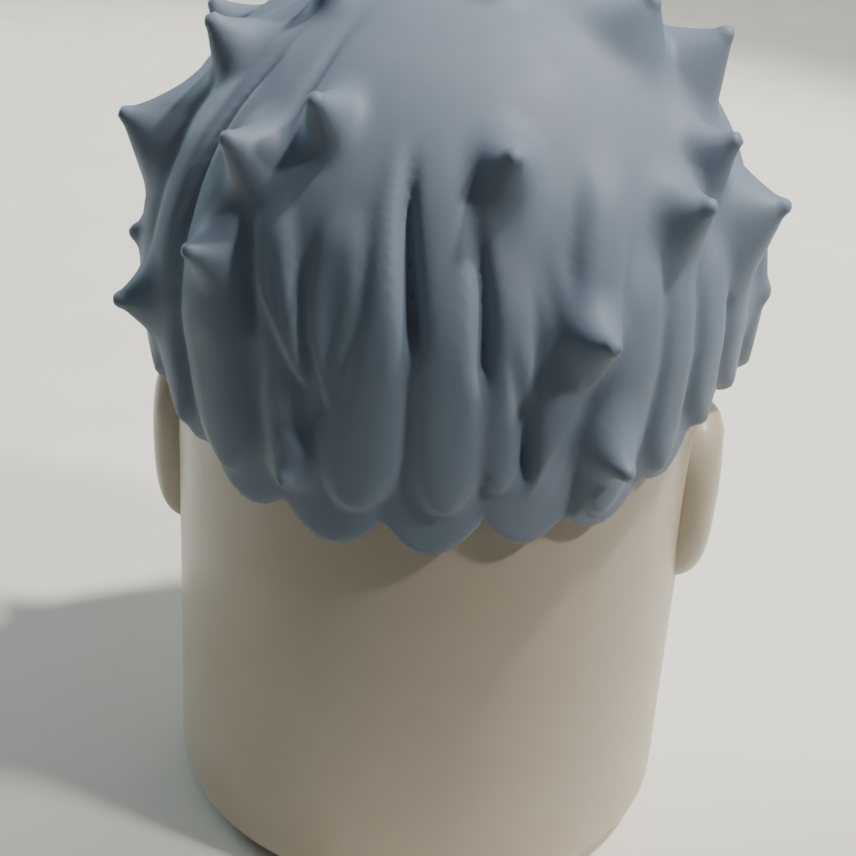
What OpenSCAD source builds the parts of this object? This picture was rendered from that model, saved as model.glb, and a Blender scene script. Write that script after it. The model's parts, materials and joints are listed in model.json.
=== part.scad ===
// Round-topped display head with a pull-off spiky hair cap.
// Millimetres, +Z up, origin at the centre of the rest face, face towards -Y.
// An azimuth is measured from the back (+Y) towards the head's +X side, an
// elevation upwards from the centre of the dome.

/* [Head] */
// Outside radius of the head cylinder and of its dome
head_r = 40; // [38:0.5:42]
// Height of the dome's centre above the rest face
dome_z = 89; // [86:1:95]
// Wall thickness of the head shell
wall = 2.5; // [2:0.25:3.5]
// Rounding of the bottom edge
edge_r = 5; // [4:0.5:5.5]

/* [Base] */
// How far the foot pad stands below the shell
pad_drop = 0.6; // [0.4:0.1:1]
// Radius of the foot pad
pad_r = 23.5; // [20:0.5:24]
// Radius of the base plate
plate_r = 33.3; // [33:0.1:33.4]
// Radius of the circle of base screws
screw_ring_r = 28; // [28:0.5:28.5]
// Number of base screws
base_screw_count = 4; // [3:1:6]

/* [Ears] */
// Height of the middle of each ear
ear_z = 57.3; // [54:0.5:58]
// Height of each ear, end to end
ear_len = 30; // [24:1:32]
// Width of each ear, front to back
ear_w = 14; // [11:1:16]
// How far an ear stands out of the head
ear_out = 4.3; // [4:0.1:5]
// Azimuth of each ear
ear_az = 87; // [84:1:92]

/* [Cap] */
// Radius of the hair over the dome, between the spikes
hair_r = 44.5; // [44:0.25:46]
// Radius of the hair at its hem
hem_r = 42.6; // [42.4:0.1:43]
// Running gap between the head and the cap
cap_gap = 0.4; // [0.3:0.1:0.6]
// Thickness of the inner skull cap
liner_t = 1.1; // [0.9:0.1:1.4]
// Height of the skull cap's lower edge
liner_z = 92; // [91.8:0.1:94]
// Radius of the cutter that makes the hair grooves
groove_r = 1.1; // [0.8:0.1:1.4]

/* [Hidden] */
$fn = 96;

HEAD = [0.93, 0.90, 0.84];
DARK = [0.25, 0.25, 0.26];
STEEL = [0.70, 0.70, 0.72];
HAIR = [0.45, 0.51, 0.57];
LINER = [0.55, 0.58, 0.60];

cut = 0.1;                        // overrun of a cutter past the face it cuts
fit = 0.1;                        // gap between bonded or seated pieces
inner_r = head_r - wall;
shell_z = pad_drop;               // underside of the shell
ledge_z = shell_z + 4;            // face that the base plate seats on
ledge_t = 2.5;
recess_r = plate_r + 0.2;
ledge_in_r = screw_ring_r + 1;
boss_r = 4;
boss_top_z = ledge_z + 10;

plate_z = shell_z + 0.3;
pad_seat = 0.7;                   // depth of the pad's pocket in the plate
screw_head_r = 2.9;
screw_head_t = 1.8;
screw_r = 1.45;
counterbore = 2.1;                // depth of the pocket for a screw head

ear_edge = 2;                     // rounding of the ear's outer edge
ear_peg_r = 2.5;
ear_screw_r = 1.2;

cap_in_r = head_r + cap_gap;
liner_out_r = cap_in_r + liner_t;
hair_in_r = liner_out_r + fit;
band_z = 86.5;
band_h = 5;
band_out_r = cap_in_r + 0.9;
hem_base_z = 58;                  // lower limit of the hair before the hem is cut
seam_y = -5;                      // plane where front and back hair meet
tip_r = 0.9;                      // rounding of a spike's point

// Spikes: azimuth, elevation, tip distance from the dome's centre, base radius
BACK_SPIKES = [
    [71, 24, 53.0, 7.0], [60, 45, 51.5, 5.0], [36, 56, 52.0, 5.0], [19, 39, 52.0, 5.0],
    [33, 30, 52.0, 5.0], [37, 13, 50.0, 4.5], [57, -1, 51.5, 5.0], [68, 7, 47.5, 3.5],
    [20, -22, 48.0, 3.5], [-14, 34, 51.5, 4.5], [-31, 7, 52.0, 6.0], [-37, -15, 51.0, 5.0],
    [-50, 24, 51.5, 5.0], [-61, 32, 52.0, 5.0], [-71, 20, 53.0, 6.5], [-76, 47, 54.0, 6.5],
    [-60, 55, 52.0, 5.5], [-20, 72, 52.5, 5.5], [50, 76, 52.0, 5.5], [-86, 3, 47.5, 3.5]];
FRONT_SPIKES = [
    [104, 40, 52.5, 6.0], [108, 14, 50.5, 5.0], [130, 58, 53.0, 6.0], [-112, 62, 53.0, 6.0],
    [-110, 30, 52.0, 5.5], [-112, 6, 50.0, 4.5], [135, 30, 53.0, 6.0], [-140, 40, 53.5, 6.5],
    [160, 45, 53.5, 6.5], [172, 22, 51.5, 5.0], [-160, 20, 51.0, 5.0], [175, 66, 52.0, 5.5]];

// Hem lobes: azimuth, height of the lowest point, radius of the lobe
HEM_LOBES = [
    [-6, 62.8, 6], [9, 62.7, 7.2], [-22, 64.5, 7], [-37, 65.4, 7.4], [27, 64.9, 8.5],
    [43, 70.5, 7], [58, 74.4, 7.5], [74, 76, 7.5], [90, 76, 7.5], [-51, 70.2, 6.5],
    [-64, 75.6, 6.5], [-78, 77, 7], [-92, 76, 7.5], [106, 73, 7.5], [-107, 73, 7],
    [120, 68, 6.5], [-121, 68, 7], [133, 77, 6.5], [-135, 77, 6.5], [147, 81, 6.5],
    [-149, 81, 6.5], [161, 79, 6.5], [-163, 82, 6.5], [175, 80, 6.5], [-174, 83, 5]];

// Grooves between the locks: azimuth, elevation of the middle, depth
BACK_GROOVES = [
    [1, 20, 1.3], [-12.5, 12, 1.2], [-21.5, -10, 1.3], [-55, -5, 1], [30, 2, 1.2], [9, -4, 1],
    [-43, -3, 1], [50, 27, 1.1], [-30, 26, 0.8], [14, 24, 0.8], [-72, -3, 1], [74, 12, 1]];
FRONT_GROOVES = [
    [104, 22, 1.2], [119, 3, 1.2], [148, 14, 1.2], [176, 33, 1.1], [-150, 28, 1.2],
    [-126, 14, 1.2]];

module aim(az, el) {
    rotate([0, 0, -az]) rotate([el - 90, 0, 0]) children();
}

// Solid with a cylindrical lower part and a hemispherical top
module capsule(r, bottom_z) {
    translate([0, 0, bottom_z]) cylinder(r = r, h = dome_z - bottom_z);
    translate([0, 0, dome_z]) sphere(r = r);
}

module at_base_screws() {
    for (i = [0 : base_screw_count - 1])
        rotate([0, 0, 45 + i * 360 / base_screw_count]) translate([screw_ring_r, 0, 0]) children();
}

// side is 1 for the ear on +X and -1 for the ear on -X; +Z of the children points outwards
module at_ear(side) {
    rotate([0, 0, -side * ear_az]) translate([0, 0, ear_z]) rotate([-90, 0, 0]) children();
}

// ---- head -------------------------------------------------------------------

module head_outside() {
    translate([0, 0, shell_z]) cylinder(r = head_r - edge_r, h = edge_r + cut);
    translate([0, 0, shell_z + edge_r])
        rotate_extrude() translate([head_r - edge_r, 0]) circle(r = edge_r);
    capsule(head_r, shell_z + edge_r);
}

// Low mannequin nose, blended into the plain front of the shell
module nose() {
    translate([0, -(head_r - 1.6), 54]) rotate([-9, 0, 0]) cylinder(r1 = 4.2, r2 = 2.2, h = 19);
    translate([0, -(head_r - 1.6), 54]) sphere(r = 4.2);
}

// The bosses start inside the plate's recess, which then trims them level with the ledge
module screw_bosses() {
    low = ledge_z - 1;
    at_base_screws() translate([0, 0, low]) cylinder(r = boss_r, h = boss_top_z - low);
}

module head_shell() {
    color(HEAD) difference() {
        union() {
            difference() {
                union() {
                    head_outside();
                    nose();
                }
                capsule(inner_r, ledge_z + ledge_t);
                translate([0, 0, ledge_z - cut]) cylinder(r = ledge_in_r, h = ledge_t + 2 * cut);
            }
            screw_bosses();
        }
        translate([0, 0, shell_z - cut]) cylinder(r = recess_r, h = ledge_z - shell_z + cut);
        at_base_screws()
            translate([0, 0, ledge_z - cut]) cylinder(r = screw_r + 0.05, h = 8 + cut);
        for (side = [-1, 1])
            at_ear(side) translate([0, 0, inner_r - 2]) cylinder(r = ear_peg_r + fit, h = wall + 4);
    }
}

module base_plate() {
    color(HEAD) difference() {
        translate([0, 0, plate_z]) cylinder(r = plate_r, h = ledge_z - plate_z);
        translate([0, 0, plate_z - cut]) cylinder(r = pad_r + 0.2, h = pad_seat + cut);
        at_base_screws() {
            translate([0, 0, plate_z - cut]) cylinder(r = screw_r + 0.35, h = 2 * ledge_z);
            translate([0, 0, plate_z - cut]) cylinder(r = screw_head_r + 0.3, h = counterbore + cut);
        }
    }
}

module base_screws() {
    color(STEEL) at_base_screws() difference() {
        union() {
            translate([0, 0, plate_z + counterbore - screw_head_t])
                cylinder(r = screw_head_r, h = screw_head_t);
            translate([0, 0, plate_z + counterbore - cut]) cylinder(r = screw_r, h = 8.5);
        }
        for (a = [0, 90])
            translate([0, 0, plate_z + counterbore - screw_head_t]) rotate([0, 0, a])
                cube([2.8, 0.7, 1.6], center = true);
    }
}

module foot_pad() {
    color(DARK) cylinder(r = pad_r, h = plate_z + pad_seat);
}

// ---- ears -------------------------------------------------------------------

module ear(side) {
    span = ear_len - ear_w;
    top = head_r + ear_out;
    root = head_r - 1.5;          // deepest point of the ear's back before it is hollowed
    difference() {
        union() {
            difference() {
                at_ear(side) hull() for (s = [-1, 1]) translate([0, s * span / 2, 0]) {
                    translate([0, 0, root])
                        cylinder(r = ear_w / 2, h = top - ear_edge - root, $fn = 48);
                    translate([0, 0, top - 0.7 * ear_edge])
                        cylinder(r = ear_w / 2 - 0.3 * ear_edge, h = cut, $fn = 48);
                    translate([0, 0, top - cut]) cylinder(r = ear_w / 2 - ear_edge, h = cut, $fn = 48);
                }
                cylinder(r = head_r + 0.02, h = 2 * dome_z);
            }
            at_ear(side) translate([0, 0, inner_r - fit]) cylinder(r = ear_peg_r, h = wall + 1.5);
        }
        at_ear(side) translate([0, 0, inner_r - 1]) cylinder(r = ear_screw_r + 0.05, h = wall + 2.4);
    }
}

module ear_left() { color(HEAD) ear(-1); }

module ear_right() { color(HEAD) ear(1); }

module ear_screws() {
    washer_r = 4.4;
    seat = sqrt(inner_r * inner_r - washer_r * washer_r) - fit;  // the washer clears the wall
    color(STEEL) for (side = [-1, 1]) at_ear(side) {
        translate([0, 0, seat - 0.8]) cylinder(r = washer_r, h = 0.8);
        translate([0, 0, seat - 2.4]) cylinder(r = 2.6, h = 1.7);
        translate([0, 0, seat - 0.4]) cylinder(r = ear_screw_r, h = 4);
    }
}

// ---- cap --------------------------------------------------------------------

module cap_liner() {
    color(LINER) difference() {
        capsule(liner_out_r, dome_z);
        capsule(cap_in_r, dome_z);
        cylinder(r = 2 * head_r, h = liner_z);
    }
}

module grip_band() {
    color(DARK) translate([0, 0, band_z]) difference() {
        cylinder(r = band_out_r, h = band_h);
        translate([0, 0, -cut]) cylinder(r = cap_in_r - 0.1, h = band_h + 2 * cut);
    }
}

// Space inside the hair: the head, the band's seat and the skull cap
module cap_cavity() {
    capsule(cap_in_r, hem_base_z - 10);
    translate([0, 0, band_z - fit]) cylinder(r = band_out_r + fit, h = band_h + 2 * fit);
    difference() {
        capsule(hair_in_r, dome_z);
        cylinder(r = 2 * head_r, h = liner_z - fit);
    }
}

// Shape that the hem is cut to: each lobe hangs as a round-ended slab
module hem_curtain() {
    for (l = HEM_LOBES)
        rotate([0, 0, -l[0]]) translate([0, hem_r + 8, l[1] + l[2]]) rotate([90, 0, 0]) {
            cylinder(r = l[2], h = 18);
            translate([-l[2], 0, 0]) cube([2 * l[2], 30, 18]);
        }
}

// A straight round cutter laid along the meridian: it fades out at both ends of the groove
module groove(az, el, depth) {
    translate([0, 0, dome_z]) aim(az, el) translate([0, 0, hair_r - depth + groove_r])
        rotate([90, 0, 0]) cylinder(r = groove_r, h = hair_r, center = true, $fn = 32);
}

module spike(az, el, reach, base_r) {
    root = head_r - 4;
    grow = (reach - tip_r - root) / (reach - tip_r - hair_r);  // cone widened down to its root
    root_r = tip_r + (base_r - tip_r) * grow;
    translate([0, 0, dome_z]) aim(az, el) {
        translate([0, 0, root]) cylinder(r1 = root_r, r2 = tip_r, h = reach - tip_r - root);
        translate([0, 0, reach - tip_r]) sphere(r = tip_r, $fn = 32);
    }
}

module hair_skin(grooves) {
    difference() {
        union() {
            translate([0, 0, hem_base_z])
                cylinder(r1 = hem_r - 0.3, r2 = hair_r, h = dome_z - hem_base_z);
            translate([0, 0, dome_z]) sphere(r = hair_r);
        }
        for (g = grooves) groove(g[0], g[1], g[2]);
    }
}

// Hair of one side of the seam; ahead is -1 for the front half and 1 for the back half
module hair_half(spikes, grooves, ahead) {
    half = 80;
    difference() {
        union() {
            intersection() {
                hair_skin(grooves);
                union() {
                    hem_curtain();
                    translate([0, 0, dome_z]) cylinder(r = half, h = half);
                }
            }
            for (s = spikes) spike(s[0], s[1], s[2], s[3]);
        }
        cap_cavity();
        translate([-half, ahead > 0 ? seam_y - 2 * half : seam_y - fit, -cut])
            cube([2 * half, 2 * half, 3 * half]);
    }
}

module hair_back() { color(HAIR) hair_half(BACK_SPIKES, BACK_GROOVES, 1); }

module hair_front() { color(HAIR) hair_half(FRONT_SPIKES, FRONT_GROOVES, -1); }

head_shell();
base_plate();
base_screws();
foot_pad();
ear_left();
ear_right();
ear_screws();
cap_liner();
grip_band();
hair_back();
hair_front();
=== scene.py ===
"""Looks of the round-topped display head with its pull-off spiky hair cap.

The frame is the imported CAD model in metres. The hair, the head's outer shell and the ears are
modelled here in millimetres and scaled at the end. A place on the hair is given by its azimuth in
degrees, from the back (+Y) towards +X, and by its height s along the surface in millimetres,
above (+) or below (-) the dome's equator.
"""
import json
import math

import bpy
import numpy as np
from mathutils import Matrix, Vector


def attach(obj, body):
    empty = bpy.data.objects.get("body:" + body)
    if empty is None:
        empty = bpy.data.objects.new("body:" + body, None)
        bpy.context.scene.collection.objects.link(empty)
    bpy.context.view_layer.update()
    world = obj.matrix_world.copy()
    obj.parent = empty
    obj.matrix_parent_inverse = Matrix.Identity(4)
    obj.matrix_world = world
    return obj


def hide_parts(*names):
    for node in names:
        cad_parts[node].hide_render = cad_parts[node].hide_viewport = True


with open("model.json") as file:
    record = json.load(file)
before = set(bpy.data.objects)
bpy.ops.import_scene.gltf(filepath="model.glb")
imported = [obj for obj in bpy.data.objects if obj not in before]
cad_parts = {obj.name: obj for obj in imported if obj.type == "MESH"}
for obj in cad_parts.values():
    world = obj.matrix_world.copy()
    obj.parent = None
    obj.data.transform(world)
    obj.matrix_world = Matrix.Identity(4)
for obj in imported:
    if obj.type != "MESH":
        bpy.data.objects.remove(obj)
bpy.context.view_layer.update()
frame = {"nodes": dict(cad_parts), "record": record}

MM = 0.001
DOME_Z = 89.0                     # height of the dome's centre
HEAD_R = 40.0
SEAM_Y = -5.0                     # plane where the front and back hair meet

# ---- hair: driving sizes -----------------------------------------------------

CELL = 0.60                       # grid pitch of the hair field
VALLEY_R = 43.4                   # radius between the locks, on the dome
VALLEY_HEM_R = 41.8               # the same, at the lowest hem
HEM_DROP = 27.0                   # how far the lowest hem is below the equator
ARC_R = 44.3                      # radius that s is measured on
CROWN_LIFT = 2.0                  # extra thickness of the smooth crown
TIP_R = 1.30                      # rounding of a spike's point
SPIKE_BLEND = 1.8                 # softness of the join between a spike and the skin
SPIKE_MARGIN = 13                 # space round a tip in which its spike is worked out
CAVITY_R = 40.4                   # inside radius over the head
BAND_SEAT_R = 41.4                # groove for the grip band
BAND_LOW, BAND_HIGH = 86.4, 91.6
LINER_R, LINER_LOW = 41.6, 91.9   # room for the inner skull cap
SEAM_GAP = 0.1                    # space between the two halves at the seam
HAIR_HALF, HAIR_LOW, HAIR_TOP = 58, 60, 144   # box in which the hair is worked out
HEM_BLEND = 0.7                   # rounding of the hem's edge

# Spikes: azimuth, elevation, distance of the tip from the dome's centre, half width at the
# skin, and how far the underside reaches below the tip
BACK_SPIKES = [
    (71, 25, 52.6, 7.6, 9.5), (60, 45, 51.8, 5.2, 6.0), (43, 62, 51.5, 4.0, 5.6),
    (19, 38, 52.0, 4.2, 5.6), (33, 30, 52.0, 4.4, 6.6), (37, 13, 50.0, 4.0, 5.5),
    (57, -1, 50.8, 5.2, 7.5), (68, 7, 47.2, 4.2, 6.0), (19.5, -21, 49.4, 3.4, 3.6),
    (-15.5, 33, 51.5, 5.0, 7.5), (-30, 7, 52.0, 5.0, 7.8), (-37, -15, 51.0, 4.2, 5.0),
    (-50, 24, 51.5, 5.2, 8.0), (-61, 32, 52.0, 5.0, 8.0), (-71, 20, 52.6, 7.6, 11.0),
    (-76, 46, 54.0, 7.0, 8.5), (-60, 55, 52.6, 7.4, 8.5), (-20, 72, 52.5, 4.6, 6.5),
    (50, 76, 52.0, 4.6, 6.5), (-85, 2, 47.4, 7.5, 9.0)]
FRONT_SPIKES = [
    (104, 40, 52.5, 5.4, 8.0), (108, 14, 50.5, 4.6, 7.0), (130, 58, 53.0, 5.4, 8.0),
    (-112, 62, 53.0, 5.4, 8.0), (-126, 24, 50.5, 5.0, 7.5), (-112, 6, 50.0, 4.2, 6.0),
    (135, 30, 53.0, 5.4, 9.0), (-140, 40, 53.5, 5.8, 10.0), (160, 45, 53.5, 5.8, 9.0),
    (172, 22, 51.5, 4.6, 7.0), (-160, 20, 51.0, 4.6, 7.0), (175, 66, 52.0, 5.0, 7.0)]

# Lobes of the hem: azimuth, s of the lowest point, half width in mm
HEM_LOBES = [
    (-6, -26.4, 6.6), (12, -26.6, 7.2), (-23, -24.6, 6.4), (-37, -23.5, 7.0), (29, -24.2, 7.6),
    (44, -18.8, 6.6), (58, -14.6, 7.0), (74, -13.0, 7.5), (90, -13.0, 7.5), (-51, -18.8, 6.5),
    (-64, -13.4, 6.5), (-78, -12.0, 7.0), (-92, -13.0, 7.5), (106, -16.0, 7.5), (-107, -16.0, 7.0),
    (120, -21.0, 6.5), (-121, -21.0, 7.0), (133, -12.0, 6.5), (-135, -12.0, 6.5),
    (147, -8.0, 6.5), (-149, -8.0, 6.5), (161, -10.0, 6.5), (-163, -7.0, 6.5), (175, -9.0, 6.5),
    (-174, -6.0, 5.0)]

# Locks: lift, length of the shaped end, its power (2 is round, 1 is pointed), depth of the
# scoop along the middle, and the path from top to bottom as (azimuth, s, half width)
ROUND, POINTED = 2.0, 1.15
BACK_LOCKS = [
    # left side, seen from behind
    (2.0, 7, ROUND, 0, [(84, 26, 4), (82, 10, 6), (80, -2, 6), (78, -9, 5.5)]),
    (2.3, 8, ROUND, 0, [(66, 34, 3), (65, 18, 5), (63, 4, 6), (60, -8, 5.5), (57, -13, 5)]),
    (2.2, 9, ROUND, 0, [(50, 34, 3), (53, 20, 4.2), (54, 6, 4.8), (52, -6, 4.6), (47, -17, 4.2)]),
    (2.3, 8, ROUND, 0, [(40, 26, 4), (38, 12, 6.6), (38, 0, 7), (36, -10, 6.6), (33, -20, 6)]),
    # two scooped pointed locks over a broad one
    (2.5, 11, POINTED, 0.9, [(27, 26, 3), (25, 16, 3.8), (23, 8, 3.6), (19.5, 2, 3), (16.5, -4, 2.6)]),
    (2.3, 12, POINTED, 1.1, [(13, 26, 3), (12, 16, 4.2), (12, 8, 4.4), (12.3, 2, 3.8), (12.5, -7, 3)]),
    (2.2, 9, ROUND, 0, [(4, 36, 3), (4, 20, 3), (3.5, 8, 3.2), (5, -3, 5), (7, -10, 6.7),
                        (7.5, -20.4, 6.4)]),
    (1.9, 6, ROUND, 0, [(22, 4, 2.5), (22, -8, 3.4), (20, -18, 3.2)]),
    # middle and right
    (2.1, 8, ROUND, 0, [(-6, 36, 3), (-6, 24, 4.4), (-7, 8, 5.0), (-8, -6, 5.4), (-8, -19.6, 5.2)]),
    (1.7, 8, ROUND, 0, [(-16, 20, 3), (-17, 10, 3), (-17.5, -4, 3.4), (-17, -16.4, 3.2)]),
    (2.0, 11, POINTED, 0, [(-25, 20, 4), (-26, 10, 4), (-27, 0, 3.8), (-26, -8, 3.4), (-22.5, -17, 3)]),
    (3.3, 9, ROUND, 0, [(-36, 32, 4), (-35, 26, 4.6), (-33, 18, 4.6), (-31, 10, 4.2), (-30, 1, 3.4)]),
    (2.2, 9, ROUND, 0, [(-42, 20, 4), (-40, 6, 5), (-38.5, -8, 5.4), (-37, -21, 5.2)]),
    (2.2, 8, ROUND, 0, [(-50, 22, 3), (-49, 8, 3.8), (-49.5, -6, 4.0), (-50, -17, 3.6)]),
    (2.1, 8, ROUND, 0, [(-60, 22, 3), (-59, 8, 4.2), (-60, -4, 4.4), (-62, -13, 4.0)]),
    (2.1, 7, ROUND, 0, [(-72, 18, 4), (-71, 4, 4.6), (-73, -6, 4.4), (-75, -11, 4)]),
    (3.8, 7, ROUND, 0.5, [(-86, 20, 4), (-86, 8, 5.4), (-88, -2, 5.6), (-90, -12, 5)]),
]
FRONT_LOCKS = [
    (2.0, 8, ROUND, 0, [(98, 24, 4), (97, 8, 6), (96, -4, 6), (96, -12, 5.4)]),
    (2.0, 9, ROUND, 0, [(112, 24, 4), (113, 6, 6), (114, -8, 6), (117, -19, 5)]),
    (2.0, 8, POINTED, 0, [(126, 26, 4), (128, 10, 5.5), (129, -2, 5.5), (131, -11, 4.4)]),
    (2.1, 8, ROUND, 0, [(139, 26, 4), (141, 12, 5.6), (143, 0, 5.6), (146, -8, 5)]),
    (2.1, 8, POINTED, 0, [(153, 28, 4), (155, 14, 5.6), (157, 2, 5.6), (160, -10, 4.6)]),
    (2.1, 8, ROUND, 0, [(167, 26, 4), (168, 12, 5.4), (170, 2, 5.6), (174, -9, 5)]),
    (2.1, 8, POINTED, 0, [(-179, 28, 4), (-178, 14, 5.6), (-176, 2, 5.6), (-172, -6, 4.6)]),
    (2.1, 8, ROUND, 0, [(-166, 26, 4), (-166, 14, 5.6), (-165, 2, 5.6), (-163, -7, 5)]),
    (2.1, 8, POINTED, 0, [(-152, 26, 4), (-151, 12, 5.6), (-150, 2, 5.6), (-148, -8, 4.6)]),
    (2.0, 8, ROUND, 0, [(-138, 26, 4), (-137, 10, 5.6), (-136, -2, 5.6), (-135, -11, 5)]),
    (2.0, 9, ROUND, 0, [(-124, 24, 4), (-123, 6, 6), (-122, -8, 6), (-120, -19, 5)]),
    (2.0, 8, ROUND, 0, [(-107, 24, 4), (-107, 8, 6), (-106, -4, 6), (-106, -14, 5.4)]),
]
# Grooves: depth, half width, and the path as (azimuth, s)
GROOVES = [
    (2.2, 0.9, [(2, 28), (1.5, 20), (0, 11), (-2, 3)]),
    (2.0, 0.85, [(-9.5, 23), (-10.5, 18), (-12, 11), (-13, -1)]),
    (1.6, 0.9, [(-17, 4), (-20, -4), (-22, -15)]),
    (1.4, 0.9, [(32, 18), (30, 8), (27.5, 1)]),
    (1.2, 1.0, [(42, 42), (46, 28), (48, 10)]),
    (0.9, 1.0, [(27, 46), (28, 36), (29.5, 24)]),
    (0.8, 1.0, [(58, 40), (60, 26), (60, 14)]),
    (0.9, 1.0, [(-22, 16), (-24, 8), (-25.5, 0)]),
]
DEEPEST = -1.0                    # lowest point of the height map, which keeps a wall
UNDER_LIFT = 0.95                 # lift of the thin layer that forms the hem
SKIRT_TOP = -6.0


def smoothstep(x):
    x = np.clip(x, 0, 1)
    return x * x * (3 - 2 * x)


def smooth_min(a, b, k):
    h = np.clip(0.5 + 0.5 * (b - a) / k, 0, 1)
    return b + (a - b) * h - k * h * (1 - h)


def smooth_max(a, b, k):
    return -smooth_min(-a, -b, k)


# ---- hair: height map over azimuth and s --------------------------------------

AZ_STEP, S_STEP = 0.5, 0.4        # pitch of the height map, in degrees and mm
S_LOW, S_TOP = -34.0, 70.0
AZ_AXIS = np.arange(-180, 180, AZ_STEP)
S_AXIS = np.arange(S_LOW, S_TOP, S_STEP)


def flat_radius(s):
    """Horizontal radius of the hair at height s."""
    return np.where(s > 0, ARC_R * np.cos(np.minimum(s / ARC_R, 1.5)), ARC_R - 1.0)


def side_distance(az, s):
    """Sideways distance in mm from azimuth az to every cell of the map's rows."""
    turn = (AZ_AXIS[:, None] - az[None, :] + 180) % 360 - 180
    return np.radians(turn) * flat_radius(s)[None, :]


def path_rows(path):
    """Smooth azimuth and width of a path at each row of the map, and which rows it covers."""
    pts = np.array(sorted(path, key=lambda p: p[1]), float)
    rows = [np.interp(S_AXIS, pts[:, 1], pts[:, i]) for i in range(pts.shape[1]) if i != 1]
    kernel = np.hanning(17)
    kernel /= kernel.sum()
    rows = [np.convolve(np.pad(r, 8, mode="edge"), kernel, "valid") for r in rows]
    return pts[0, 1], pts[-1, 1], rows


def lock(lift, end, power, scoop, path):
    """Height of one raised lock over the whole map."""
    low, top, (az, width) = path_rows(path)
    into = np.clip((S_AXIS - low) / end, 0, 1)          # 0 at the lowest point, 1 above the end
    shape = np.where(S_AXIS >= low, (1 - (1 - into) ** power) ** (1 / power), 0)
    fade = smoothstep((top + 4 - S_AXIS) / 16)
    across = np.abs(side_distance(az, S_AXIS)) / np.maximum(width * shape, 1e-3)[None, :]
    body = lift * np.clip(1 - across ** 2.8, 0, None) ** 0.7
    hollow = scoop * np.exp(-(across / 0.5) ** 2) * smoothstep((18 - S_AXIS) / 12)[None, :]
    return (body - hollow) * fade[None, :] * (shape > 0)


def groove(depth, width, path):
    """Depth of one groove over the whole map."""
    low, top, (az,) = path_rows(path)
    fade = smoothstep((S_AXIS - low + 2) / 6) * smoothstep((top + 2 - S_AXIS) / 12)
    across = side_distance(az, S_AXIS) / width
    return depth * np.exp(-across ** 2) * fade[None, :]


def blur(height, passes):
    """Light softening of the map, which wraps round in azimuth."""
    for _ in range(passes):
        height = (np.roll(height, 1, 0) + 2 * height + np.roll(height, -1, 0)) / 4
        pad = np.pad(height, ((0, 0), (1, 1)), mode="edge")
        height = (pad[:, :-2] + 2 * height + pad[:, 2:]) / 4
    return height


def height_map():
    """Height of the locks over the valley radius, as [azimuth, s]."""
    height = np.zeros((len(AZ_AXIS), len(S_AXIS)))
    for az, low, width in HEM_LOBES:
        under = lock(UNDER_LIFT, 6, ROUND, 0, [(az, low - 1, width + 0.6), (az, SKIRT_TOP, width)])
        height = smooth_max(height, under, 0.25)
    for spec in BACK_LOCKS + FRONT_LOCKS:
        height = smooth_max(height, lock(*spec), 0.35)
    crown = smoothstep((S_AXIS + 1) / 25)[None, :]
    height = smooth_max(height, CROWN_LIFT * crown, 0.8)
    for spec in GROOVES:
        height = height - groove(*spec)
    return blur(smooth_max(height, np.full_like(height, DEEPEST), 0.5), 2)


def sample(height, az, s):
    """Bilinear sample of the height map."""
    u = (az + 180) / AZ_STEP
    v = np.clip((s - S_LOW) / S_STEP, 0, len(S_AXIS) - 1.001)
    i, j = np.floor(u).astype(int), np.floor(v).astype(int)
    fu, fv = u - i, v - j
    i0, i1 = i % len(AZ_AXIS), (i + 1) % len(AZ_AXIS)
    return ((height[i0, j] * (1 - fu) + height[i1, j] * fu) * (1 - fv)
            + (height[i0, j + 1] * (1 - fu) + height[i1, j + 1] * fu) * fv)


# ---- hair: distance field -----------------------------------------------------

def surface_place(p):
    """Azimuth, s and radius of points in mm."""
    x, y, z = p[..., 0], p[..., 1], p[..., 2]
    flat = np.hypot(x, y)
    up = np.maximum(z - DOME_Z, 0)
    s = np.where(z > DOME_Z, ARC_R * np.arctan2(up, flat), z - DOME_Z)
    return np.degrees(np.arctan2(x, y)), s, np.hypot(flat, up)


def dome_point(az, el, radius):
    """The point at a distance from the dome's centre, in the given direction."""
    a, e = math.radians(az), math.radians(el)
    return np.array([math.sin(a) * math.cos(e), math.cos(a) * math.cos(e), math.sin(e)]) * radius \
        + np.array([0, 0, DOME_Z])


def skin_point(az, s, lift):
    """A point on the hair surface, lift mm above the valley."""
    radius = VALLEY_R + lift
    if s > 0:
        return dome_point(az, math.degrees(s / ARC_R), radius)
    radius += (VALLEY_HEM_R - VALLEY_R) * min(-s / HEM_DROP, 1)
    a = math.radians(az)
    return np.array([math.sin(a) * radius, math.cos(a) * radius, DOME_Z + s])


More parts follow.
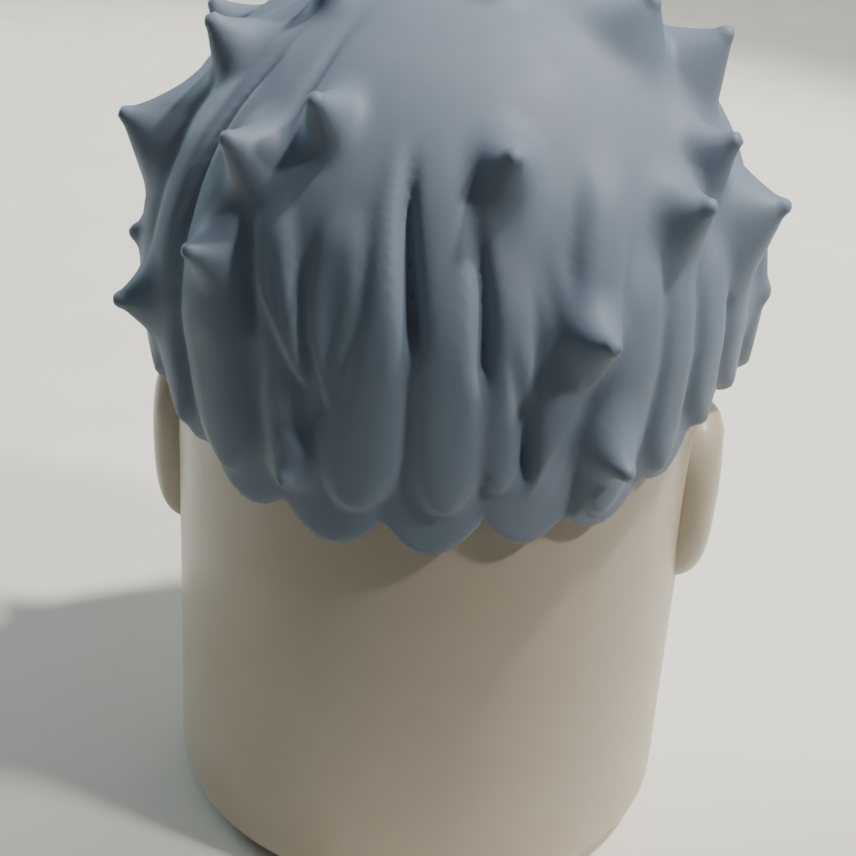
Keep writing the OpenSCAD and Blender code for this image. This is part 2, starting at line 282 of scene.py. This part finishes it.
def spike_field(p, az, el, reach, half, keel):
    """A lock's end that flips outwards: a long hollow back above, a full wedge below the tip."""
    up_turn = math.radians(el)
    s = ARC_R * up_turn if el > 0 else math.sin(up_turn) * reach
    centre = np.array([0, 0, DOME_Z])
    root = np.linalg.norm(skin_point(az, s, 0.3) - centre)
    out = dome_point(az, el, 1.0) - centre
    side = np.array([math.cos(math.radians(az)), -math.sin(math.radians(az)), 0.0])
    rise = np.cross(side, out)
    q = p - centre
    h, x, y = q @ out, np.abs(q @ side), q @ rise
    tip = reach - TIP_R
    left = 1 - np.clip((h - root) / (tip - root), 0, 1)        # 1 at the skin, 0 at the tip
    wide = TIP_R + (half - TIP_R) * left ** 0.9
    above = TIP_R + (1.3 * half + 1.0 - TIP_R) * left ** 1.3
    below = TIP_R + (keel - TIP_R) * left
    tall = np.where(y > 0, above, below)
    keel_power = 2.2 if el > 10 else 1.7           # low spikes have a sharper underside
    power = np.where(y > 0, 2.0, keel_power)
    ring = ((x / wide) ** power + (np.abs(y) / tall) ** power) ** (1 / power)
    cone = (ring - 1) * np.minimum(wide, tall)
    ball = np.sqrt(x * x + y * y + (h - tip) ** 2) - TIP_R
    return np.where(h > tip, ball, cone)


def hem_line(az):
    """s of the hem's edge at each azimuth."""
    edge = np.full(az.shape, -3.0)
    for centre, low, width in HEM_LOBES:
        turn = (az - centre + 180) % 360 - 180
        across = np.radians(turn) * 43.0 / width
        lobe = low + 4.6 * across ** 2 + 60 * np.clip(np.abs(across) - 1.15, 0, None)
        edge = smooth_min(edge, lobe, 0.5)
    return edge


def outer_field(p, height):
    """Negative inside the hair's outer skin, spikes left out."""
    az, s, r = surface_place(p)
    valley = VALLEY_R + (VALLEY_HEM_R - VALLEY_R) * np.clip(-s / HEM_DROP, 0, 1.3)
    return r - valley - sample(height, az, s)


def inner_field(p):
    """Positive in the cavity over the head, the band's groove and the room for the liner."""
    z = p[..., 2]
    flat = np.hypot(p[..., 0], p[..., 1])
    dome = np.hypot(flat, np.maximum(z - DOME_Z, 0))
    free = CAVITY_R - dome
    beyond_band = np.maximum(BAND_LOW - z, z - BAND_HIGH)
    seat = np.where(flat < BAND_SEAT_R, -np.maximum(flat - BAND_SEAT_R, beyond_band), -1e3)
    liner = np.where(z > LINER_LOW, LINER_R - dome, -1e3)
    return np.maximum(free, np.maximum(seat, liner))


def box_points(low, high):
    """Grid axes and grid points of a box."""
    axes = [np.arange(a, b + CELL, CELL) for a, b in zip(low, high)]
    return axes, np.stack(np.meshgrid(*axes, indexing="ij"), -1)


def hair_field(low, high, height):
    """Negative inside the hair, over the grid of a box."""
    axes, p = box_points(low, high)
    field = outer_field(p, height)
    for az, el, tip_distance, half, keel in BACK_SPIKES + FRONT_SPIKES:
        tip = dome_point(az, el, tip_distance)
        near = SPIKE_MARGIN + keel
        part = tuple(slice(*np.searchsorted(ax, (c - near, c + near))) for ax, c in zip(axes, tip))
        if field[part].size:
            spike = spike_field(p[part], az, el, tip_distance, half, keel)
            field[part] = smooth_min(field[part], spike, SPIKE_BLEND)
    az, s, _ = surface_place(p)
    field = smooth_max(field, hem_line(az) - s, HEM_BLEND)
    return axes, p, np.maximum(field, inner_field(p))


# ---- meshing ------------------------------------------------------------------

def surface_nets(axes, field):
    """Closed quad mesh of field = 0: one vertex per crossed cell, one quad per crossed edge."""
    inside = field < 0
    shape = np.array(field.shape) - 1
    total = np.zeros((*shape, 3))
    count = np.zeros(shape)
    corner = [(i, j, k) for i in (0, 1) for j in (0, 1) for k in (0, 1)]

    def at(c):
        return tuple(slice(o, o + n) for o, n in zip(c, shape))

    for a in corner:
        for axis in range(3):
            if a[axis]:
                continue
            b = tuple(v + (i == axis) for i, v in enumerate(a))
            fa, fb = field[at(a)], field[at(b)]
            crossed = (fa < 0) != (fb < 0)
            t = np.where(crossed, fa / np.where(crossed, fa - fb, 1), 0)
            count += crossed
            for i in range(3):
                total[..., i] += crossed * (a[i] + (t if i == axis else 0))
    used = count > 0
    cells = np.argwhere(used)
    index = -np.ones(shape, int)
    index[used] = np.arange(len(cells))
    origin = np.array([ax[0] for ax in axes])
    verts = origin + (cells + total[used] / count[used][:, None]) * CELL
    quads = []
    for axis in range(3):
        u, v = (axis + 1) % 3, (axis + 2) % 3
        lo = [slice(1, -1)] * 3
        hi = [slice(1, -1)] * 3
        lo[axis], hi[axis] = slice(0, -1), slice(1, None)
        a, b = inside[tuple(lo)], inside[tuple(hi)]
        for flip in (False, True):
            hit = np.argwhere((a & ~b) if not flip else (~a & b))
            hit[:, u] += 1
            hit[:, v] += 1
            ring = []
            for du, dv in ((-1, -1), (0, -1), (0, 0), (-1, 0)):
                c = hit.copy()
                c[:, u] += du
                c[:, v] += dv
                ring.append(index[c[:, 0], c[:, 1], c[:, 2]])
            quad = np.stack(ring, 1)
            quads.append(quad[:, ::-1] if flip else quad)
    return verts, np.concatenate(quads)


RELAX_STEPS = (0.5, -0.52)


def relax(verts, quads, passes):
    """Light smoothing that keeps the volume: one step in, one step out."""
    pairs = np.concatenate([quads[:, [i, (i + 1) % 4]] for i in range(4)])
    for step in RELAX_STEPS * passes:
        total = np.zeros_like(verts)
        for i in range(3):
            total[:, i] = np.bincount(pairs[:, 0], verts[pairs[:, 1], i], len(verts)) \
                + np.bincount(pairs[:, 1], verts[pairs[:, 0], i], len(verts))
        count = np.bincount(pairs.ravel(), minlength=len(verts))[:, None]
        verts = verts + step * (total / count - verts)
    return verts


def hair_half(height, ahead):
    """Mesh of one side of the seam: ahead is -1 for the front and 1 for the back."""
    cut = SEAM_Y if ahead > 0 else SEAM_Y - SEAM_GAP
    if ahead > 0:
        y_low, y_high = cut - 2 * CELL, HAIR_HALF
    else:
        y_low, y_high = -HAIR_HALF, cut + 2 * CELL
    axes, p, field = hair_field((-HAIR_HALF, y_low, HAIR_LOW), (HAIR_HALF, y_high, HAIR_TOP), height)
    field = np.maximum(field, ahead * (cut - p[..., 1]))
    verts, quads = surface_nets(axes, field)
    verts = relax(verts, quads, 2)
    verts[:, 1] = ahead * np.maximum(ahead * verts[:, 1], ahead * cut)
    return verts, quads


SHARP_ANGLE = 55                  # degrees above which an edge is shaded sharp


def mesh_object(name, verts, faces):
    """A smooth-shaded object in metres from points in mm."""
    mesh = bpy.data.meshes.new(name)
    mesh.from_pydata((np.asarray(verts) * MM).tolist(), [], [list(map(int, f)) for f in faces])
    mesh.validate()
    mesh.shade_smooth()
    mesh.set_sharp_from_angle(angle=math.radians(SHARP_ANGLE))
    obj = bpy.data.objects.new(name, mesh)
    bpy.context.scene.collection.objects.link(obj)
    return obj


# ---- materials ----------------------------------------------------------------

class Nodes:
    """A material's node tree, with short calls for the nodes used here."""

    def __init__(self, name):
        self.material = bpy.data.materials.new(name)
        self.material.use_nodes = True
        self.tree = self.material.node_tree
        self.shader = self.tree.nodes["Principled BSDF"]
        self.place = self.tree.nodes.new("ShaderNodeTexCoord").outputs["Object"]

    def new(self, kind, **values):
        node = self.tree.nodes.new(kind)
        for key, value in values.items():
            setattr(node, key, value)
        return node

    def link(self, a, b):
        self.tree.links.new(a, b)

    def noise(self, scale, detail=3.0, rough=0.5):
        node = self.new("ShaderNodeTexNoise")
        node.inputs["Scale"].default_value = scale
        node.inputs["Detail"].default_value = detail
        node.inputs["Roughness"].default_value = rough
        self.link(self.place, node.inputs["Vector"])
        return node.outputs["Fac"]

    def span(self, value, low, high, out_low, out_high):
        node = self.new("ShaderNodeMapRange")
        for key, v in zip(("From Min", "From Max", "To Min", "To Max"),
                          (low, high, out_low, out_high)):
            node.inputs[key].default_value = v
        self.link(value, node.inputs["Value"])
        return node.outputs["Result"]

    def mix(self, factor, a, b):
        node = self.new("ShaderNodeMix", data_type="RGBA")
        self.link(factor, node.inputs["Factor"])
        for socket, value in ((node.inputs[6], a), (node.inputs[7], b)):
            if isinstance(value, tuple):
                socket.default_value = (*value, 1)
            else:
                self.link(value, socket)
        return node.outputs[2]

    def bump(self, layers):
        """Stacks (height, distance in metres, strength) bumps."""
        normal = None
        for height, distance, strength in layers:
            node = self.new("ShaderNodeBump")
            node.inputs["Distance"].default_value = distance
            node.inputs["Strength"].default_value = strength
            self.link(height, node.inputs["Height"])
            if normal:
                self.link(normal, node.inputs["Normal"])
            normal = node.outputs["Normal"]
        self.link(normal, self.shader.inputs["Normal"])

    def edges(self, low, high):
        """0 in hollows, 1 on sharp edges: worn edges on the plastics, painted shade and painted
        highlight on the hair.
        """
        node = self.new("ShaderNodeNewGeometry")
        return self.span(node.outputs["Pointiness"], low, high, 0, 1)

    def colour(self, value):
        self.link(value, self.shader.inputs["Base Color"])

    def roughness(self, value):
        self.link(value, self.shader.inputs["Roughness"])


def plastic(name, base, shade, edge, rough, grain, edge_range=(0.50, 0.56)):
    """Moulded plastic: mottled colour, lighter worn edges, varied gloss and a fine skin."""
    n = Nodes(name)
    mottle = n.mix(n.span(n.noise(90, 4), 0.35, 0.65, 0, 1), base, shade)
    n.colour(n.mix(n.edges(*edge_range), mottle, edge))
    n.roughness(n.span(n.noise(160, 3), 0.3, 0.7, rough - 0.05, rough + 0.06))
    n.bump([(n.noise(260, 2), 0.00008, 0.5), (n.noise(grain, 3, 0.6), 0.00003, 0.6)])
    return n


def hair_material():
    """Satin blue-grey vinyl, with painted shade that darkens the hollows and a painted highlight that
    lightens the edges.
    """
    n = Nodes("hair_vinyl")
    patches = n.span(n.noise(28, 2), 0.4, 0.6, 0, 1)
    tint = n.mix(patches, (0.190, 0.240, 0.308), (0.200, 0.237, 0.302))
    mottle = n.mix(n.span(n.noise(90, 4), 0.35, 0.65, 0, 1), tint, (0.175, 0.222, 0.287))
    # painted shade: the colour is darker in the hollows and creases, where shade falls
    hollow = n.mix(n.edges(0.44, 0.50), (0.140, 0.176, 0.228), mottle)
    # painted highlight: the colour is lighter on sharp edges and ridges, for the glow of the thin
    # translucent edges
    n.colour(n.mix(n.edges(0.54, 0.64), hollow, (0.225, 0.278, 0.342)))
    n.roughness(n.span(n.noise(140, 3), 0.3, 0.7, 0.52, 0.62))
    n.bump([(n.noise(220, 2), 0.00010, 0.4), (n.noise(2600, 3, 0.6), 0.00003, 0.5)])
    n.shader.inputs["Specular IOR Level"].default_value = 0.35
    return n.material


def head_material():
    """Cream plastic that lets a little light in."""
    n = plastic("head_plastic", (0.50, 0.435, 0.335), (0.48, 0.415, 0.315), (0.56, 0.495, 0.395),
                0.34, 2400)
    n.shader.inputs["Subsurface Weight"].default_value = 0.08
    n.shader.inputs["Subsurface Radius"].default_value = (1.0, 0.7, 0.5)
    n.shader.inputs["Subsurface Scale"].default_value = 0.0015
    return n.material


def steel_material():
    n = plastic("zinc_steel", (0.60, 0.60, 0.61), (0.52, 0.52, 0.53), (0.72, 0.72, 0.72), 0.32,
                3000)
    n.shader.inputs["Metallic"].default_value = 1.0
    return n.material


def floor_material():
    n = Nodes("floor_paint")
    tone = n.span(n.noise(6, 3), 0.3, 0.7, 0, 1)
    n.colour(n.mix(tone, (0.90, 0.88, 0.79), (0.88, 0.855, 0.76)))
    n.roughness(n.span(n.noise(40, 2), 0.3, 0.7, 0.42, 0.55))
    n.bump([(n.noise(500, 2), 0.0001, 0.15)])
    return n.material


MATERIALS = {
    "head": head_material(),
    "base": plastic("base_plastic", (0.66, 0.61, 0.53), (0.63, 0.58, 0.50), (0.72, 0.67, 0.60),
                    0.5, 1800).material,
    "steel": steel_material(),
    "pad": plastic("foot_rubber", (0.030, 0.030, 0.033), (0.040, 0.040, 0.043),
                   (0.070, 0.070, 0.075), 0.72, 1500).material,
    "liner": plastic("liner_plastic", (0.25, 0.29, 0.33), (0.23, 0.27, 0.31), (0.32, 0.36, 0.40),
                     0.45, 2200).material,
    "band": plastic("band_silicone", (0.11, 0.12, 0.13), (0.095, 0.105, 0.115),
                    (0.17, 0.18, 0.19), 0.6, 1900).material,
    "hair": hair_material(),
}

for part in frame["record"]["subparts"]:
    shown = frame["nodes"][part["node"]]
    shown.data.materials.clear()
    shown.data.materials.append(MATERIALS[part["material_slot"]])


def place(obj, body, slot, *nodes):
    """Puts a new piece on its body, in place of CAD nodes."""
    obj.data.materials.append(MATERIALS[slot])
    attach(obj, body)
    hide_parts(*nodes)


# ---- head shell with a plain mannequin face -----------------------------------

WALL = 2.5
SHELL_Z = 0.6                     # underside of the shell
EDGE_R = 5.0                      # rounding of the bottom edge
FOOT_R, PLATE_R, BORE_R = 33.6, 33.5, 29.0    # bottom rim, recess for the plate, opening over it
LEDGE_Z, LEDGE_T = SHELL_Z + 4, 2.5           # ledge that the base plate rests against
BREAK = 0.05                      # broken corners of the recess
FACE_ANGLE, FACE_FADE = 1.3, 0.4  # radians round from the nose that the face covers, and its fade
FACE_RELIEF = [  # across in mm, height, half width, half height, proudness
    (0, 57, 3.4, 9.5, 2.6), (0, 50, 4.6, 4.0, 3.0), (0, 70.5, 17, 3.6, 1.1),
    (-9, 62, 6.5, 4.5, -1.5), (9, 62, 6.5, 4.5, -1.5), (-9, 61.6, 4.6, 3.2, 1.1),
    (9, 61.6, 4.6, 3.2, 1.1), (-17, 49, 8, 8, 0.8), (17, 49, 8, 8, 0.8),
    (0, 38.4, 7.2, 1.9, 1.5), (0, 34.2, 6.4, 2.2, 1.6), (0, 36.4, 8.4, 0.8, -0.9),
    (0, 29.6, 6, 2.2, -0.5), (0, 22, 10, 5.5, 1.7), (0, 43.2, 2.0, 2.6, -0.4)]


def face_relief(across, z):
    """Height of the face over the plain cylinder, in mm."""
    height = np.zeros_like(across)
    for x, level, wide, tall, proud in FACE_RELIEF:
        height += proud * np.exp(-((across - x) / wide) ** 2 - ((z - level) / tall) ** 2)
    return height


def head_profile():
    """Outline of the shell's section from the top of the dome round to the inside of the top."""
    points = []
    for a in np.radians(np.linspace(90, 0, 46)):
        points.append((HEAD_R * math.cos(a), DOME_Z + HEAD_R * math.sin(a)))
    for z in np.linspace(DOME_Z, SHELL_Z + EDGE_R, 92)[1:]:
        points.append((HEAD_R, z))
    for a in np.radians(np.linspace(0, -90, 13))[1:]:
        points.append((HEAD_R - EDGE_R + EDGE_R * math.cos(a),
                       SHELL_Z + EDGE_R + EDGE_R * math.sin(a)))
    inner = HEAD_R - WALL
    top = LEDGE_Z + LEDGE_T
    points += [(FOOT_R, SHELL_Z), (PLATE_R, SHELL_Z + 0.1), (PLATE_R, LEDGE_Z - BREAK),
               (PLATE_R - BREAK, LEDGE_Z), (BORE_R + BREAK, LEDGE_Z), (BORE_R, LEDGE_Z + BREAK),
               (BORE_R, top - BREAK), (BORE_R + BREAK, top), (inner - 0.1, top), (inner, top + 0.1)]
    for z in np.linspace(LEDGE_Z + 3, DOME_Z, 12):
        points.append((inner, z))
    for a in np.radians(np.linspace(0, 90, 24))[1:]:
        points.append((inner * math.cos(a), DOME_Z + inner * math.sin(a)))
    return points


def revolve(name, profile, turns, move=None):
    """Closed solid of revolution; the profile starts and ends on the axis."""
    rows = profile[1:-1]
    angles = np.linspace(0, 2 * math.pi, turns, endpoint=False)
    verts = [(0, 0, profile[0][1])]
    for r, z in rows:
        verts += [(r * math.sin(a), -r * math.cos(a), z) for a in angles]
    verts.append((0, 0, profile[-1][1]))
    verts = np.array(verts)
    if move:
        verts = move(verts)
    faces = []
    last = len(verts) - 1
    for i in range(turns):
        j = (i + 1) % turns
        faces.append((0, 1 + i, 1 + j))
        faces.append((last, last - turns + j, last - turns + i))
    for row in range(len(rows) - 1):
        base = 1 + row * turns
        for i in range(turns):
            j = (i + 1) % turns
            faces.append((base + i, base + turns + i, base + turns + j, base + j))
    return mesh_object(name, verts, faces)


def add_face(verts):
    """Pushes the front of the cylinder out into the face's relief."""
    flat = np.hypot(verts[:, 0], verts[:, 1])
    angle = np.arctan2(verts[:, 0], -verts[:, 1])
    outer = (flat > HEAD_R - 0.01) & (np.abs(angle) < FACE_ANGLE)
    fade = smoothstep((FACE_ANGLE - np.abs(angle)) / FACE_FADE)
    proud = face_relief(angle * HEAD_R, verts[:, 2]) * outer * fade
    grow = 1 + proud / np.maximum(flat, 1)
    verts[:, 0] *= grow
    verts[:, 1] *= grow
    return verts


place(revolve("head_outer", head_profile(), 288, add_face), "head", "head", "head_shell")

# ---- ears ---------------------------------------------------------------------

EAR_Z, EAR_AZ = 57.0, 87.0        # middle of the ear
EAR_HALF_H, EAR_HALF_W, EAR_PROUD = 15.0, 8.2, 4.6
EAR_ROOT = 1.0                    # how deep the ear's edge sits in the head
EAR_BACK = 2.0                    # how deep its flat back sits
OUTLINE_POWER = 2.5               # 2 is an ellipse, more is squarer
EAR_RINGS, EAR_TURNS = 30, 72


def ear_surface(u, v):
    """How far the ear stands over its root at (u, v) of its outline, in mm."""
    spread = min(math.hypot(u, v), 1.0)
    rise = (1 - spread ** 4) ** 0.5
    bowl = math.exp(-((u + 0.12) / 0.36) ** 4 - ((v - 0.02) / 0.52) ** 4)
    fold = 0.5 * math.exp(-((u - 0.02) / 0.10) ** 2 - ((v - 0.25) / 0.35) ** 2)
    return (EAR_PROUD + EAR_ROOT + 0.3 * v) * rise - (1.9 * bowl - fold)


def ear(side):
    """Soft rounded ear with a shallow bowl; side is 1 on +X and -1 on -X."""
    rings, turns = EAR_RINGS, EAR_TURNS
    verts, faces = [], []
    middle = math.radians(EAR_AZ)

    def add(u, v, out):
        az = middle - u * (1 - 0.05 * v * v + 0.09 * v) * EAR_HALF_W / HEAD_R
        verts.append((side * out * math.sin(az), out * math.cos(az), EAR_Z + v * EAR_HALF_H))

    for i in range(rings + 1):
        spread = math.sin(i / rings * math.pi / 2) ** 0.8
        for j in range(turns):
            a = 2 * math.pi * j / turns
            c, d = math.cos(a), math.sin(a)
            square = (abs(c) ** OUTLINE_POWER + abs(d) ** OUTLINE_POWER) ** (-1 / OUTLINE_POWER)
            u, v = c * spread, d * spread
            add(u * square, v * square, HEAD_R - EAR_ROOT + ear_surface(u, v))
    back = len(verts)
    for j in range(turns):
        a = 2 * math.pi * j / turns
        add(0.9 * math.cos(a), 0.95 * math.sin(a), HEAD_R - EAR_BACK)
    centre = len(verts)
    add(0, 0, HEAD_R - EAR_BACK)
    for i in range(rings):
        for j in range(turns):
            k = (j + 1) % turns
            a, b = i * turns, (i + 1) * turns
            faces.append((a + j, b + j, b + k, a + k))
    for j in range(turns):
        k = (j + 1) % turns
        a = rings * turns
        faces.append((a + j, back + j, back + k, a + k))
        faces.append((back + j, centre, back + k))
    verts, faces = fold_first_ring(verts, faces, turns)
    if side > 0:
        faces = [f[::-1] for f in faces]
    return verts, faces


def fold_first_ring(verts, faces, turns):
    """Joins the innermost ring, which is one point, into a single vertex."""
    kept = [tuple(0 if i < turns else i - turns + 1 for i in f) for f in faces]
    kept = [tuple(dict.fromkeys(f)) for f in kept]
    return [verts[0]] + verts[turns:], [f for f in kept if len(f) > 2]


for side, node in ((-1, "ear_left"), (1, "ear_right")):
    obj = mesh_object(node + "_pad", *ear(side))
    place(obj, "head", "head", node)

# ---- hair ---------------------------------------------------------------------

heights = height_map()
for name, ahead in (("hair_back", 1), ("hair_front", -1)):
    obj = mesh_object(name + "_locks", *hair_half(heights, ahead))
    place(obj, "cap", "hair", name)

# ---- stage --------------------------------------------------------------------

FLOOR_HALF = 3.0
LIGHT_CENTRE = Vector((0, 0, 0.075))          # the lights stand round this point
POOL = Vector((0.06, -0.29, 0.0))             # middle of the lit pool on the floor
FAR_FLOOR = Vector((0.0, -0.84, 0.0))
WARM, WARM_NEAR, WARM_FAR = (1.0, 0.955, 0.90), (1.0, 0.965, 0.92), (1.0, 0.97, 0.92)
COOL, BLUE = (0.95, 0.98, 1.0), (0.72, 0.92, 1.0)


def make_floor():
    mesh = bpy.data.meshes.new("floor")
    h = FLOOR_HALF
    mesh.from_pydata([(-h, -h, 0), (h, -h, 0), (h, h, 0), (-h, h, 0)], [], [(0, 1, 2, 3)])
    floor = bpy.data.objects.new("floor", mesh)
    bpy.context.scene.collection.objects.link(floor)
    floor.data.materials.append(floor_material())


def add_light(name, data, azimuth, elevation, distance, target, power, colour):
    """Stands a light round the object and aims it; azimuth as on the hair."""
    a, e = math.radians(azimuth), math.radians(elevation)
    spot = LIGHT_CENTRE + distance * Vector((math.sin(a) * math.cos(e),
                                             math.cos(a) * math.cos(e), math.sin(e)))
    data.energy = power
    data.color = colour
    light = bpy.data.objects.new(name, data)
    light.location = spot
    light.rotation_euler = (target - spot).to_track_quat("-Z", "Y").to_euler()
    bpy.context.scene.collection.objects.link(light)


def area_light(name, azimuth, elevation, distance, size, power, colour):
    """Soft square light, aimed at the middle of the object."""
    data = bpy.data.lights.new(name, "AREA")
    data.shape = "SQUARE"
    data.size = size
    add_light(name, data, azimuth, elevation, distance, LIGHT_CENTRE, power, colour)


def spot_light(name, azimuth, elevation, distance, target, radius, cone, blend, power, colour):
    """Soft round light, aimed at a place on the floor."""
    data = bpy.data.lights.new(name, "SPOT")
    data.shadow_soft_size = radius
    data.spot_size = math.radians(cone)
    data.spot_blend = blend
    add_light(name, data, azimuth, elevation, distance, target, power, colour)


def make_world():
    world = bpy.data.worlds.new("studio")
    world.use_nodes = True
    back = world.node_tree.nodes["Background"]
    back.inputs["Color"].default_value = (0.86, 0.93, 1.0, 1)
    back.inputs["Strength"].default_value = 0.09
    bpy.context.scene.world = world


CAMERA_DISTANCE, CAMERA_ELEVATION, CAMERA_AZIMUTH = 0.23686, 25.52, 6.0
CAMERA_LOOK_Z = 0.060             # height on the axis that the camera's aim starts from
CAMERA_PAN, CAMERA_TILT, CAMERA_ROLL = 0.331, 0.262, -3.792


def make_camera():
    """Close camera behind the head, looking down on it, with a slight roll."""
    e = math.radians(CAMERA_ELEVATION)
    place_at = Vector((0, CAMERA_DISTANCE * math.cos(e),
                       CAMERA_DISTANCE * math.sin(e) + CAMERA_LOOK_Z))
    ahead = Vector((0, -math.cos(e), -math.sin(e)))
    right = ahead.cross(Vector((0, 0, 1))).normalized()
    up = right.cross(ahead)
    for axis, angle in (("up", CAMERA_PAN), ("right", CAMERA_TILT), ("ahead", CAMERA_ROLL)):
        around = {"up": up, "right": right, "ahead": ahead}[axis]
        spin = Matrix.Rotation(math.radians(angle), 3, around)
        ahead, right, up = spin @ ahead, spin @ right, spin @ up
    spin = Matrix.Rotation(math.radians(CAMERA_AZIMUTH), 3, "Z")
    place_at, ahead, right, up = spin @ place_at, spin @ ahead, spin @ right, spin @ up
    data = bpy.data.cameras.new("camera")
    data.sensor_width = 36.0
    data.lens = 63.08
    data.clip_start = 0.01
    camera = bpy.data.objects.new("camera", data)
    matrix = Matrix((right, up, -ahead)).transposed().to_4x4()
    matrix.translation = place_at
    camera.matrix_world = matrix
    bpy.context.scene.collection.objects.link(camera)
    bpy.context.scene.camera = camera


make_floor()
spot_light("key", -97, 66, 1.2, POOL, 0.045, 38, 0.6, 80.0, WARM)
spot_light("key_near", -70, 45, 1.2, POOL, 0.06, 36, 0.6, 38.0, WARM_NEAR)
spot_light("backdrop", 180, 60, 1.6, FAR_FLOOR, 0.2, 60, 0.9, 50.0, WARM_FAR)
area_light("overhead", 180, 80, 2.2, 2.4, 11.0, COOL)
area_light("window", 122, 18, 1.0, 0.35, 3.2, BLUE)
make_world()
make_camera()
